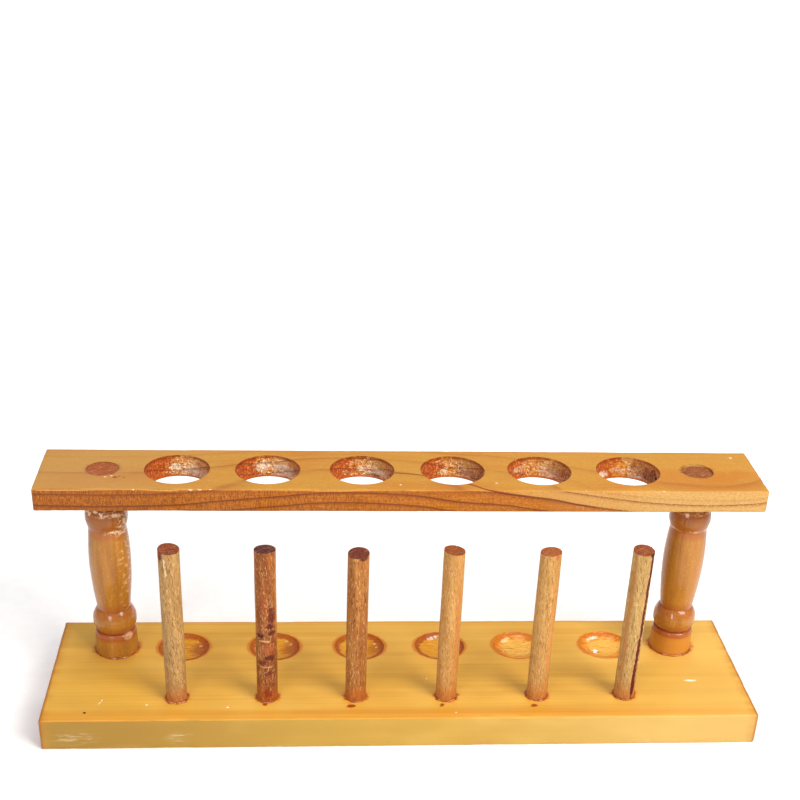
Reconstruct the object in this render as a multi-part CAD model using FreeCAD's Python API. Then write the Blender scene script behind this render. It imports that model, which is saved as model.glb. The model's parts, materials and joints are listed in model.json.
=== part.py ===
import FreeCAD, Part
import os

# A wooden test tube rack: a thick base board, a thinner board with six round holes
# held above its back half by two turned posts, and a row of six drying pegs in front.
# Millimetres. X runs along the boards, Y towards the back, Z up.
# The origin is the middle of the underside of the base board.

# Overall size
rack_length = 250.0
rack_depth = 63.0
rack_height = 85.0

# Boards
base_thickness = 12.0
top_thickness = 8.2
top_width = 31.5
arris_ease = 0.6        # sandpaper takes the sharp corners off the boards

# Rows, as distances from the middle of the base, and the spacing of six along a row
tube_row_y = 14.0
peg_row_y = -18.0
tube_pitch = 31.5
tube_count = 6

# The three rows are drilled by eye, so each hole sits a little off its mark
hole_drift = [0.5, 0.0, 1.0, 1.0, 0.0, 0.0]
seat_drift = [-0.5, 1.5, 1.5, 0.0, -2.0, -0.5]
peg_drift = [-0.5, -0.5, -1.0, -0.5, 0.5, 0.5]

# Tube holes and the shallow seats that the tubes stand in
tube_hole_radius = 11.2
hole_mouth_ease = 0.3
seat_radius = 9.3
seat_floor_radius = 8.7
seat_rim_depth = 1.0
seat_depth = 2.2

# Drying pegs: dowels glued into blind sockets, each sawn by hand to its own length
peg_radius = 3.75
peg_standing_height = 59.5
peg_height_drift = [0.5, 0.5, -1.0, 0.0, -0.5, 0.0]
peg_spigot_radius = 3.55
peg_taper_height = 1.0
peg_socket_depth = 7.0
peg_end_ease = 0.3

# Posts: turned, with a round tenon on each end
post_x = 103.5
tenon_radius = 5.5
mortise_depth = 8.0
tenon_end_ease = 0.4
head_tenon_recess = {"left": 0.0, "right": 0.6}   # how far each upper tenon stops below the top face
joint_clearance = 0.05  # radial gap that the glue fills in every socket and mortise

# Turned outline of a post, as heights above the base board and radii
foot_height = 9.3
foot_radius = 7.7
foot_shoulder_radius = 7.45
collar_round = 1.2      # rounds the foot's top edge and the head's bottom edge
groove_radius = 6.7
lower_bead_bottom = 9.6
lower_bead_middle = 14.1
lower_bead_top = 18.4
bead_radius = 7.8
waist_radius = 5.9
body_quarter_height = 27.5
body_quarter_radius = 6.9
body_widest_height = 39.0
body_widest_radius = 7.4
neck_height = 51.5
neck_radius = 6.6
upper_bead_middle = 55.5
upper_bead_top = 59.4
upper_bead_radius = 7.5
head_bottom = 59.8
head_radius = 7.3

# Beads of glue and lacquer squeezed out round the joints
peg_bead_width = 0.8
peg_bead_height = 0.7
foot_bead_width = 0.8
foot_bead_height = 0.7
head_bead_width = 0.9
head_bead_height = 1.0
bead_crown_out = 0.66   # the bead's roundest point, as shares of its width and height
bead_crown_up = 0.6

# Worked out from the sizes above
top_underside = rack_height - top_thickness
post_clear_height = top_underside - base_thickness
peg_socket_floor = base_thickness - peg_socket_depth
through_margin = 1.0    # how far a cutter runs past the face that it breaks through
round_middle = 0.3      # how far in from both sides a quarter round's middle lies, as a share of its radius


def row_x(index):
    """The marked X of one place along a row of six, counted from the left."""
    return (index - (tube_count - 1) / 2.0) * tube_pitch


def line(start, end):
    """A straight stretch of a turned outline, between (radius, height) points."""
    return Part.makeLine(
        FreeCAD.Vector(start[0], 0, start[1]),
        FreeCAD.Vector(end[0], 0, end[1]),
    )


def arc(start, middle, end):
    """A round stretch of a turned outline, through three (radius, height) points."""
    points = [FreeCAD.Vector(radius, 0, height) for radius, height in (start, middle, end)]
    return Part.Arc(*points).toShape()


def curve(points):
    """A smooth swelling stretch of a turned outline, through (radius, height) points."""
    spline = Part.BSplineCurve()
    spline.interpolate([FreeCAD.Vector(radius, 0, height) for radius, height in points])
    return spline.toShape()


def turned(edges, x, y, z):
    """The solid that a closed outline sweeps round a vertical axis at x and y."""
    face = Part.Face(Part.Wire(edges))
    solid = face.revolve(FreeCAD.Vector(0, 0, 0), FreeCAD.Vector(0, 0, 1), 360)
    solid.translate(FreeCAD.Vector(x, y, z))
    return solid


def turned_polygon(points, x, y, z):
    """A turned solid whose outline has straight sides only."""
    closed = points + [points[0]]
    edges = [line(start, end) for start, end in zip(closed, closed[1:])]
    return turned(edges, x, y, z)


def board(length, width, thickness, centre_y, underside):
    """A board with eased arrises, centred along X."""
    corner = FreeCAD.Vector(-length / 2.0, centre_y - width / 2.0, underside)
    block = Part.makeBox(length, width, thickness, corner)
    return block.makeFillet(arris_ease, block.Edges)


def through_hole(x, y, radius, underside, top, ease):
    """A cutter for a hole through a board, with both of its mouths eased."""
    outline = [
        (0, underside - through_margin),
        (radius + ease + through_margin, underside - through_margin),
        (radius, underside + ease),
        (radius, top - ease),
        (radius + ease + through_margin, top + through_margin),
        (0, top + through_margin),
    ]
    return turned_polygon(outline, x, y, 0)


def blind_hole(x, y, radius, floor, top):
    """A cutter for a flat-bottomed hole drilled down from the top of a board."""
    return Part.makeCylinder(radius, top + through_margin - floor, FreeCAD.Vector(x, y, floor))


def tube_seat(x, y):
    """A cutter for one dished seat: a short steep rim and a hollowed floor.

    The hollow is a parabola in section, so halfway out it has risen by a quarter of its depth.
    """
    halfway_radius = seat_floor_radius / 2.0
    hollow = seat_depth - seat_rim_depth
    halfway_depth = seat_depth - hollow / 4.0
    edges = [
        arc((0, -seat_depth), (halfway_radius, -halfway_depth), (seat_floor_radius, -seat_rim_depth)),
        line((seat_floor_radius, -seat_rim_depth), (seat_radius, 0)),
        line((seat_radius, 0), (seat_radius, through_margin)),
        line((seat_radius, through_margin), (0, through_margin)),
        line((0, through_margin), (0, -seat_depth)),
    ]
    return turned(edges, x, y, base_thickness)


def base_board():
    """The foot of the rack, with its tube seats, peg sockets and post mortises."""
    wood = board(rack_length, rack_depth, base_thickness, 0, 0)
    for index in range(tube_count):
        wood = wood.cut(tube_seat(row_x(index) + seat_drift[index], tube_row_y))
        peg_x = row_x(index) + peg_drift[index]
        socket_radius = peg_spigot_radius + joint_clearance
        wood = wood.cut(blind_hole(peg_x, peg_row_y, socket_radius, peg_socket_floor, base_thickness))
    for x in (-post_x, post_x):
        mortise_floor = base_thickness - mortise_depth
        mortise_radius = tenon_radius + joint_clearance
        wood = wood.cut(blind_hole(x, tube_row_y, mortise_radius, mortise_floor, base_thickness))
    return wood


def top_board():
    """The upper board, with six tube holes and a through mortise for each post."""
    wood = board(rack_length, top_width, top_thickness, tube_row_y, top_underside)
    for index in range(tube_count):
        hole_x = row_x(index) + hole_drift[index]
        wood = wood.cut(
            through_hole(hole_x, tube_row_y, tube_hole_radius, top_underside, rack_height, hole_mouth_ease)
        )
    for x in (-post_x, post_x):
        mortise_radius = tenon_radius + joint_clearance
        wood = wood.cut(through_hole(x, tube_row_y, mortise_radius, top_underside, rack_height, 0))
    return wood


def post(x, recess):
    """A turned post: foot, groove, bead, swelling body, neck, bead and head, with two tenons."""
    tenon_bottom = -mortise_depth
    tenon_top = post_clear_height + top_thickness - recess
    foot_edge = foot_height - collar_round
    shoulder = collar_round * round_middle
    head_edge = head_bottom + collar_round
    edges = [
        line((0, tenon_bottom), (tenon_radius - tenon_end_ease, tenon_bottom)),
        line((tenon_radius - tenon_end_ease, tenon_bottom), (tenon_radius, tenon_bottom + tenon_end_ease)),
        line((tenon_radius, tenon_bottom + tenon_end_ease), (tenon_radius, 0)),
        line((tenon_radius, 0), (foot_radius, 0)),
        line((foot_radius, 0), (foot_shoulder_radius, foot_edge)),
        arc(
            (foot_shoulder_radius, foot_edge),
            (foot_shoulder_radius - shoulder, foot_height - shoulder),
            (foot_shoulder_radius - collar_round, foot_height),
        ),
        line((foot_shoulder_radius - collar_round, foot_height), (groove_radius, lower_bead_bottom)),
        arc(
            (groove_radius, lower_bead_bottom),
            (bead_radius, lower_bead_middle),
            (waist_radius, lower_bead_top),
        ),
        curve([
            (waist_radius, lower_bead_top),
            (body_quarter_radius, body_quarter_height),
            (body_widest_radius, body_widest_height),
            (neck_radius, neck_height),
        ]),
        arc(
            (neck_radius, neck_height),
            (upper_bead_radius, upper_bead_middle),
            (neck_radius, upper_bead_top),
        ),
        line((neck_radius, upper_bead_top), (head_radius - collar_round, head_bottom)),
        arc(
            (head_radius - collar_round, head_bottom),
            (head_radius - shoulder, head_bottom + shoulder),
            (head_radius, head_edge),
        ),
        line((head_radius, head_edge), (head_radius, post_clear_height)),
        line((head_radius, post_clear_height), (tenon_radius, post_clear_height)),
        line((tenon_radius, post_clear_height), (tenon_radius, tenon_top)),
        line((tenon_radius, tenon_top), (0, tenon_top)),
        line((0, tenon_top), (0, tenon_bottom)),
    ]
    return turned(edges, x, tube_row_y, base_thickness)


def peg(index):
    """One drying peg: a dowel whose slimmer, tapered end stands in its socket."""
    top = base_thickness + peg_standing_height + peg_height_drift[index]
    outline = [
        (0, peg_socket_floor),
        (peg_spigot_radius - peg_end_ease, peg_socket_floor),
        (peg_spigot_radius, peg_socket_floor + peg_end_ease),
        (peg_spigot_radius, base_thickness),
        (peg_radius, base_thickness + peg_taper_height),
        (peg_radius, top - peg_end_ease),
        (peg_radius - peg_end_ease, top),
        (0, top),
    ]
    return turned_polygon(outline, row_x(index) + peg_drift[index], peg_row_y, 0)


def glue_bead(x, y, wood_radius, width, face, height, wood):
    """A rounded ring of glue on a board's face, trimmed to the wood that it surrounds.

    A negative height hangs the bead from the underside of a board.
    """
    core_radius = wood_radius / 2.0
    rim_radius = wood_radius + width
    crown = (wood_radius + width * bead_crown_out, face + height * bead_crown_up)
    edges = [
        line((core_radius, face), (rim_radius, face)),
        arc((rim_radius, face), crown, (wood_radius, face + height)),
        line((wood_radius, face + height), (core_radius, face + height)),
        line((core_radius, face + height), (core_radius, face)),
    ]
    return turned(edges, x, y, 0).cut(wood)


def save(shape, node):
    """Check one piece and write it as its own file."""
    if not shape.isValid() or len(shape.Solids) != 1:
        raise RuntimeError("the piece " + node + " isn't one valid solid")
    shape.Solids[0].exportStep("parts/" + node + ".step")
    print(node, "volume", round(shape.Volume, 1), "mm3")


def main():
    os.makedirs("parts", exist_ok=True)
    save(base_board(), "base_board")
    save(top_board(), "top_board")
    for side, x in (("left", -post_x), ("right", post_x)):
        turned_post = post(x, head_tenon_recess[side])
        save(turned_post, "post_" + side)
        foot_bead = glue_bead(
            x, tube_row_y, foot_radius, foot_bead_width, base_thickness, foot_bead_height, turned_post
        )
        save(foot_bead, "foot_glue_bead_" + side)
        head_bead = glue_bead(
            x, tube_row_y, head_radius, head_bead_width, top_underside, -head_bead_height, turned_post
        )
        save(head_bead, "head_glue_bead_" + side)
    for index in range(tube_count):
        dowel = peg(index)
        save(dowel, "peg_" + str(index + 1))
        peg_bead = glue_bead(
            row_x(index) + peg_drift[index], peg_row_y, peg_radius, peg_bead_width,
            base_thickness, peg_bead_height, dowel,
        )
        save(peg_bead, "peg_glue_bead_" + str(index + 1))


main()
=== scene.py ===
import json
import math

import bmesh
import bpy
from bpy.props import FloatProperty, FloatVectorProperty, PointerProperty
from mathutils import Matrix, Vector, noise


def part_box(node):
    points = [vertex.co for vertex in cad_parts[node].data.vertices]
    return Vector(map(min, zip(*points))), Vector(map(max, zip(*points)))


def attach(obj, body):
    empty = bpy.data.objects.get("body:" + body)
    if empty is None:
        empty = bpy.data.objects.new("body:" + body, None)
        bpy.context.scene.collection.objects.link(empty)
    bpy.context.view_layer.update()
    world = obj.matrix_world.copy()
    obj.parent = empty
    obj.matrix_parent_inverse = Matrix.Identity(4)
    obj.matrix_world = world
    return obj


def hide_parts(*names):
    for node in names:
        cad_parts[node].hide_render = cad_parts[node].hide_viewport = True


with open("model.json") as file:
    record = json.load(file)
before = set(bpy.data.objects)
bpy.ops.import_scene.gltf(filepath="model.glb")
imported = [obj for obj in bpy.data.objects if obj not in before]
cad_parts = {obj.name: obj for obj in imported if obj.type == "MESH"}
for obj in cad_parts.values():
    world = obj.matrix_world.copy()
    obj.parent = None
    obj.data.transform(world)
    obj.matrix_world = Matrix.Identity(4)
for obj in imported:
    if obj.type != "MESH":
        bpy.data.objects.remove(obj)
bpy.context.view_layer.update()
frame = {"record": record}

bl_info = {
    "name": "Test Tube Rack",
    "version": (1, 0, 0),
    "blender": (4, 5, 0),
    "location": "View3D > Sidebar > Rack",
    "description": "A small wooden test tube rack with turned posts, drilled boards and drying pegs",
    "category": "Add Mesh",
}

MM = 0.001
TAU = 2.0 * math.pi

# Places that come with the frame: the boards, the six tube holes, their seats and the six pegs.
BASE_LOW, BASE_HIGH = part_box("base_board")
TOP_LOW, TOP_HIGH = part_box("top_board")
POSTS = ("left", "right")
PLACES = range(1, 7)
MOUNTS = {mount["name"]: mount for mount in frame["record"]["mounts"]}
OPENINGS = {space["name"]: space for space in frame["record"]["physics"]["openings"]}
HOLE_RADIUS = MOUNTS["tube_hole_1"]["dims"]["r_mm"] * MM
PEG_RADIUS = MOUNTS["drying_peg_1"]["dims"]["r_mm"] * MM


def well_centre(number):
    """The middle of the space that one tube stands in, which is the middle of its seat."""
    low, high = OPENINGS[f"tube_well_{number}"]["box_m"]
    return (Vector(low) + Vector(high)) / 2.0


def box_centre(node):
    """The middle of a CAD node's box."""
    low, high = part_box(node)
    return (low + high) / 2.0


HOLES = [Vector(MOUNTS[f"tube_hole_{number}"]["pos_m"]) for number in PLACES]
SEATS = [well_centre(number) for number in PLACES]
PEGS = [box_centre(f"peg_{number}") for number in PLACES]
POST_AXES = [box_centre(f"post_{side}") for side in POSTS]

# Sizes of the posts' ends, of the seats and of the joints.
FOOT_RADIUS = 7.7 * MM
HEAD_RADIUS = 7.3 * MM
TENON_RADIUS = 5.5 * MM
SEAT_RADIUS = 9.3 * MM
SEAT_FLOOR_RADIUS = 8.7 * MM
SEAT_RIM_DEPTH = 0.55 * MM
SEAT_DEPTH = 1.9 * MM
GLUE_LINE = 0.05 * MM    # room for glue all round in a socket or mortise
MORTISE_RADIUS = TENON_RADIUS + GLUE_LINE
MORTISE_DEPTH = 8.0 * MM
SOCKET_RADIUS = 3.6 * MM
SOCKET_DEPTH = 7.0 * MM
OVERSHOOT = 1.0 * MM     # how far a cutter runs past the face that it breaks through


def linear(hex_colour):
    """An sRGB hex colour as the linear red, green, blue and alpha that a shader takes."""
    channels = [int(hex_colour[start:start + 2], 16) / 255.0 for start in (0, 2, 4)]
    return [c / 12.92 if c <= 0.04045 else ((c + 0.055) / 1.055) ** 2.4 for c in channels] + [1.0]


def colour_setting(name, description, hex_colour):
    """One colour that a user may change."""
    return FloatVectorProperty(
        name=name, description=description, subtype="COLOR", size=4,
        min=0.0, max=1.0, default=linear(hex_colour),
    )


def length_setting(name, description, millimetres):
    """One small length that a user may change."""
    return FloatProperty(
        name=name, description=description, default=millimetres * MM, unit="LENGTH", precision=5)


def power_setting(name, description, watts):
    """The power of one light, which a user may change."""
    return FloatProperty(name=name, description=description, default=watts, unit="POWER")


# ---------------------------------------------------------------- settings

class RackShape(bpy.types.PropertyGroup):
    """Fine shape that hand tools left on the rack, over the plain sizes of the frame."""

    arris_ease: length_setting(
        "Arris ease", "Width of the sanded edge round each board", 0.6)
    arris_wear: length_setting(
        "Arris wear", "How far the boards' edges are worn back at most", 0.22)
    plane_waves: length_setting(
        "Plane waves", "Depth of the shallow waves that planing left on the boards", 0.05)
    torn_grain: length_setting(
        "Torn grain", "Depth of the pits and torn fibres in the walls of the tube holes", 0.6)
    lathe_ridges: length_setting(
        "Lathe ridges", "Height of the fine rings that the gouge left on the posts", 0.03)
    dowel_flutes: length_setting(
        "Dowel flutes", "Depth of the uneven flutes along the pegs", 0.12)
    saw_slope: length_setting(
        "Saw slope", "How far the sawn top of a peg drops from one side to the other", 0.7)


class RackFinish(bpy.types.PropertyGroup):
    """Colours of the woods, the lacquer and the glue."""

    base_pale: colour_setting("Base pale", "Lacquered pine between its lines", "D8A542")
    base_line: colour_setting("Base line", "Lines and bands of the lacquered pine", "B8842C")
    base_front: colour_setting("Base front", "Duller front face of the base board", "AC8936")
    seat_gold: colour_setting("Seat gold", "Lacquer that pooled in the seats", "D6941E")
    top_pale: colour_setting("Top pale", "Early wood on the upper board's top face", "BF8831")
    top_front: colour_setting("Top front", "Early wood on the upper board's front face", "A45A0C")
    top_line: colour_setting("Top line", "Winter lines of the upper board", "6C300C")
    bore_red: colour_setting("Bore red", "End grain in the walls of the tube holes", "B5521A")
    # Bore pale: torn fibres, partly painted highlights.
    bore_fibres_and_glints: colour_setting("Bore pale", "Torn fibres in the walls of the tube holes", "F8E6C4")
    # Bore grey: scraped wood with painted sheen.
    bore_scrape_and_sheen: colour_setting("Bore grey", "Scraped side of the walls of the tube holes", "E0BEA4")
    post_pale: colour_setting("Post pale", "Turned wood of the posts", "AF7529")
    post_line: colour_setting("Post line", "Figure of the posts' wood", "915A17")
    stain: colour_setting("Stain", "Lacquer that soaked into cut fibres", "A24A06")
    glue_amber: colour_setting("Amber glue", "Glue and lacquer round the feet", "AC5C12")
    glue_milky: colour_setting("Milky glue", "Dried glue round the posts' heads", "F0DAB4")


class RackStudio(bpy.types.PropertyGroup):
    """The pale floor and the soft lights."""

    floor_colour: colour_setting("Floor", "Colour of the plain floor", "FBFAF8")
    world_strength: FloatProperty(
        name="Room light", description="Strength of the even light from all round", default=0.36)
    key_power: power_setting(
        "Key light", "Power of the square soft light at the front right", 8.0)
    fill_power: power_setting(
        "Fill light", "Power of the small soft light at the front left", 2.6)
    top_power: power_setting(
        "Top light", "Power of the large soft light overhead", 4.5)
    backdrop_power: power_setting(
        "Backdrop light", "Power of the spot light that evens out the floor behind the rack", 330.0)


# ---------------------------------------------------------------- shapes

def ripple(place, across, along, axis=0):
    """Smooth noise from -1 to 1 that is long in one direction: across and along are its sizes."""
    stretched = Vector(place) / across
    stretched[axis] = place[axis] / along
    return noise.noise(stretched)


def finish_piece(shape, name, materials, replaced, sharp=35.0):
    """Turn a bmesh into the finished object, on its body and in place of its CAD nodes."""
    mesh = bpy.data.meshes.new(name)
    for face in shape.faces:
        face.smooth = True
    shape.to_mesh(mesh)
    shape.free()
    mesh.set_sharp_from_angle(angle=math.radians(sharp))
    for material in materials:
        mesh.materials.append(material)
    piece = bpy.data.objects.new(name, mesh)
    bpy.context.scene.collection.objects.link(piece)
    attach(piece, "root")
    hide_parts(*replaced)
    return piece


def slice_along(shape, axis, cell, low, high):
    """Cut a shape into slices of about one cell along an axis."""
    count = max(1, round((high - low) / cell))
    normal = Vector((0, 0, 0))
    normal[axis] = 1.0
    for index in range(1, count):
        point = normal * (low + (high - low) * index / count)
        bmesh.ops.bisect_plane(
            shape, geom=shape.verts[:] + shape.edges[:] + shape.faces[:],
            plane_co=point, plane_no=normal, dist=1e-7,
        )


def sawn_board(low, high, cell, ease):
    """A board with eased arrises, in cells that are small enough to wear and wave."""
    board = bmesh.new()
    bmesh.ops.create_cube(board, size=1.0)
    bmesh.ops.scale(board, vec=high - low, verts=board.verts)
    bmesh.ops.translate(board, vec=(low + high) / 2.0, verts=board.verts)
    bmesh.ops.bevel(
        board, geom=board.edges[:], offset=ease, segments=3, profile=0.5, affect="EDGES", material=-1
    )
    for axis in range(3):
        slice_along(board, axis, cell, low[axis] + ease, high[axis] - ease)
    return board


def wear_board(board, low, high, ease, wear, waves):
    """Round the arrises unevenly and leave the plane's shallow waves on the faces."""
    for vertex in board.verts:
        place = vertex.co.copy()
        inward = Vector((0, 0, 0))
        for axis in range(3):
            if place[axis] - low[axis] < ease * 0.9:
                inward[axis] = 1.0
            elif high[axis] - place[axis] < ease * 0.9:
                inward[axis] = -1.0
        if inward.length > 1.1:
            chewed = max(0.0, ripple(place, 6 * MM, 18 * MM) + 0.35 * ripple(place, 1.5 * MM, 2.5 * MM))
            vertex.co += inward.normalized() * wear * min(1.0, chewed * 1.6)
        elif place.z - low.z > ease:
            wave = 0.5 + 0.5 * ripple(place, 14 * MM, 55 * MM)
            vertex.co += inward * waves * wave


def turned(outline, x, y, steps):
    """Spin an outline of (radius, height, cuts) round an upright axis into a closed shape.

    Cuts is the number of points that are added on the stretch after each corner.
    """
    shape = bmesh.new()
    corners = [shape.verts.new((x + radius, y, height)) for radius, height, _ in outline]
    stretches = [shape.edges.new(pair) for pair in zip(corners, corners[1:])]
    for stretch, (_, _, cuts) in zip(stretches, outline):
        if cuts:
            bmesh.ops.subdivide_edges(shape, edges=[stretch], cuts=cuts)
    bmesh.ops.spin(
        shape, geom=shape.verts[:] + shape.edges[:], cent=(x, y, 0), axis=(0, 0, 1),
        angle=TAU, steps=steps, use_merge=True, use_duplicate=False,
    )
    bmesh.ops.remove_doubles(shape, verts=shape.verts, dist=1e-7)
    bmesh.ops.recalc_face_normals(shape, faces=shape.faces)
    return shape


def from_axis(place, x, y):
    """Distance from an upright axis, and the direction away from it."""
    away = Vector((place.x - x, place.y - y, 0))
    return away.length, (away.normalized() if away.length > 1e-9 else Vector((1, 0, 0)))


def merge_shapes(shapes):
    """Put several shapes that don't touch into one."""
    whole = bmesh.new()
    for shape in shapes:
        mesh = bpy.data.meshes.new("part")
        shape.to_mesh(mesh)
        shape.free()
        whole.from_mesh(mesh)
        bpy.data.meshes.remove(mesh)
    return whole


def cut_away(shape, cutters):
    """Take the cutters out of a shape. New faces keep the cutters' material numbers."""
    objects = []
    for name, part in (("whole", shape), ("cutters", merge_shapes(cutters))):
        mesh = bpy.data.meshes.new(name)
        part.to_mesh(mesh)
        part.free()
        for slot_number in range(4):
            mesh.materials.append(None)
        made = bpy.data.objects.new(name, mesh)
        bpy.context.scene.collection.objects.link(made)
        objects.append(made)
    whole, cutter = objects
    modifier = whole.modifiers.new("cut", "BOOLEAN")
    modifier.operation = "DIFFERENCE"
    modifier.solver = "EXACT"
    modifier.object = cutter
    result = bpy.data.meshes.new_from_object(whole.evaluated_get(bpy.context.evaluated_depsgraph_get()))
    if not result.polygons:
        raise RuntimeError("the cutters overlap each other, and nothing is left of the shape")
    left = bmesh.new()
    left.from_mesh(result)
    bmesh.ops.remove_doubles(left, verts=left.verts, dist=1e-6)
    for made in objects:
        bpy.data.objects.remove(made)
    bpy.data.meshes.remove(result)
    return left


def blind_cutter(centre, radius, floor, top):
    """A plain cutter for a socket or mortise that a joint fills."""
    outline = [(0, floor, 0), (radius, floor, 0), (radius, top, 0), (0, top, 0)]
    return turned(outline, centre.x, centre.y, 48)


def number_faces(shape, number):
    """Give every face of a shape one material number."""
    for face in shape.faces:
        face.material_index = number
    return shape


def chip_cutter(place, size, turn, number):
    """A small ragged bite out of a surface: size is its half length, width and depth."""
    chip = bmesh.new()
    bmesh.ops.create_icosphere(chip, subdivisions=2, radius=1.0)
    for vertex in chip.verts:
        vertex.co *= 1.0 + 0.35 * noise.noise(vertex.co * 1.7 + Vector(place) * 3000.0)
    bmesh.ops.scale(chip, vec=size, verts=chip.verts)
    bmesh.ops.rotate(chip, cent=(0, 0, 0), matrix=Matrix.Rotation(turn, 3, "Z"), verts=chip.verts)
    bmesh.ops.translate(chip, vec=place, verts=chip.verts)
    return number_faces(chip, number)


# ---------------------------------------------------------------- finishes

def add(tree, kind, inputs=None, out=0, **settings):
    """Add a shader node, set it, fill or link its inputs, and give back one of its outputs."""
    made = tree.nodes.new("ShaderNode" + kind)
    for name, value in settings.items():
        setattr(made, name, value)
    for name, value in (inputs or {}).items():
        socket = made.inputs[name]
        if isinstance(value, bpy.types.NodeSocket):
            tree.links.new(value, socket)
        else:
            socket.default_value = value
    return made.outputs[out]


def new_finish(name, roughness, coat=0.0, coat_roughness=0.1, ior=1.5):
    """A material with its plain values set on the shader's own sockets."""
    material = bpy.data.materials.new(name)
    material.use_nodes = True
    surface = material.node_tree.nodes["Principled BSDF"]
    surface.inputs["Roughness"].default_value = roughness
    surface.inputs["Coat Weight"].default_value = coat
    surface.inputs["Coat Roughness"].default_value = coat_roughness
    surface.inputs["IOR"].default_value = ior
    return material, material.node_tree


def where_it_is(tree):
    """The place on the object in millimetres, as a vector and as its X, Y and Z."""
    place = add(tree, "TexCoord", out="Object")
    place = add(tree, "VectorMath", {0: place, 1: (1.0 / MM,) * 3}, operation="MULTIPLY")
    return place, add(tree, "SeparateXYZ", {0: place}).node.outputs


def way_it_faces(tree):
    """The way the surface faces, as its X, Y and Z from -1 to 1."""
    return add(tree, "SeparateXYZ", {0: add(tree, "NewGeometry", out="Normal")}).node.outputs


def apart(tree, value, other=0.0):
    """How far apart two values are."""
    gap = add(tree, "Math", {0: value, 1: other}, operation="SUBTRACT")
    return add(tree, "Math", {0: gap}, operation="ABSOLUTE")


def grain(tree, place, sizes, detail=2.0, roughness=0.55, distortion=0.0):
    """Grey noise from 0 to 1 whose features have these sizes in mm along X, Y and Z."""
    shrunk = add(tree, "VectorMath", {0: place, 1: [1.0 / size for size in sizes]}, operation="MULTIPLY")
    return add(tree, "TexNoise", {
        "Vector": shrunk, "Scale": 1.0, "Detail": detail, "Roughness": roughness, "Distortion": distortion})


def glaze(tree, under, shade, most, *limits):
    """Lay a shade over a colour, most strongly by the share most. Each is a colour or its hex value.

    Each limit is (value, start, end): none of the shade shows at start, and all of it at end.
    """
    share = most
    for value, start, end in limits:
        part = add(
            tree, "MapRange", {"Value": value, "From Min": start, "From Max": end},
            interpolation_type="SMOOTHSTEP")
        share = add(tree, "Math", {0: share, 1: part}, operation="MULTIPLY")
    under, shade = (linear(value) if isinstance(value, str) else value for value in (under, shade))
    return add(tree, "Mix", {0: share, 6: under, 7: shade}, out=2, data_type="RGBA")


def layers(tree, colour, *glazes):
    """Lay glazes over a colour in turn, each (shade, most, limits)."""
    for shade, most, *limits in glazes:
        colour = glaze(tree, colour, shade, most, *limits)
    return colour


def nearest(tree, place, centres, flatten=(1, 1, 0)):
    """Distance in mm to the nearest of several places in metres, with each axis squeezed by flatten."""
    seen = add(tree, "VectorMath", {0: place, 1: flatten}, operation="MULTIPLY")
    shortest = None
    for centre in centres:
        spot = [value / MM * keep for value, keep in zip(centre, flatten)]
        distance = add(tree, "VectorMath", {0: seen, 1: spot}, out="Value", operation="DISTANCE")
        if shortest is None:
            shortest = distance
        else:
            shortest = add(tree, "Math", {0: shortest, 1: distance}, operation="MINIMUM")
    return shortest


def from_levels(tree, place, *levels):
    """Distance in mm above or below the nearest of several heights in mm."""
    return nearest(tree, place, [(0, 0, level * MM) for level in levels], flatten=(0, 0, 1))


def ragged(tree, distance, wander, reach):
    """A distance whose edge wanders in and out by up to half the reach in mm, as noise says."""
    centred = add(tree, "Math", {0: wander, 1: 0.5}, operation="SUBTRACT")
    return add(tree, "Math", {0: centred, 1: -2.0 * reach, 2: distance}, operation="MULTIPLY_ADD")


def curve_along(tree, x, points, lowest, highest):
    """A smooth curve through (x, value) points in mm, whose values stay between lowest and highest."""
    start, end = points[0][0], points[-1][0]
    share = add(tree, "MapRange", {"Value": x, "From Min": start, "From Max": end})
    height = add(tree, "FloatCurve", {"Value": share})
    mapping = height.node.mapping
    handles = mapping.curves[0].points
    while len(handles) < len(points):
        handles.new(0.5, 0.5)
    for handle, (along, value) in zip(handles, points):
        handle.location = ((along - start) / (end - start), (value - lowest) / (highest - lowest))
    mapping.update()
    return add(tree, "MapRange", {"Value": height, "To Min": lowest, "To Max": highest})


def heading(angle):
    """The level direction at an angle in degrees round an upright axis."""
    return Vector((math.cos(math.radians(angle)), math.sin(math.radians(angle)), 0))


def blotch(tree, under, place, wander, middle, half_width, half_height, shade, strength, raggedness):
    """Lay one ragged blotch over a colour: its middle in metres, and its half sizes in mm."""
    spot = nearest(tree, place, [middle], flatten=(1, 1, half_width / half_height))
    spot = ragged(tree, spot, wander, half_width * raggedness)
    return glaze(tree, under, shade, strength, (spot, half_width * 1.15, half_width * 0.75))


def coated(material, colour, height, depth):
    """Give a material its colour, and a bump of a given depth in metres from a grey height."""
    tree = material.node_tree
    surface = tree.nodes["Principled BSDF"]
    tree.links.new(colour, surface.inputs["Base Color"])
    bump = add(tree, "Bump", {"Height": height, "Distance": depth, "Strength": 1.0})
    tree.links.new(bump, surface.inputs["Normal"])
    return material


# Drips of stain on the base board in front of four pegs: place and half width in mm.
STAIN_DRIPS = [(-48.4, -22.9, 0.8), (-18.6, -23.9, 1.2), (13.4, -23.9, 0.75), (46.0, -24.4, 0.95)]


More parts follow.
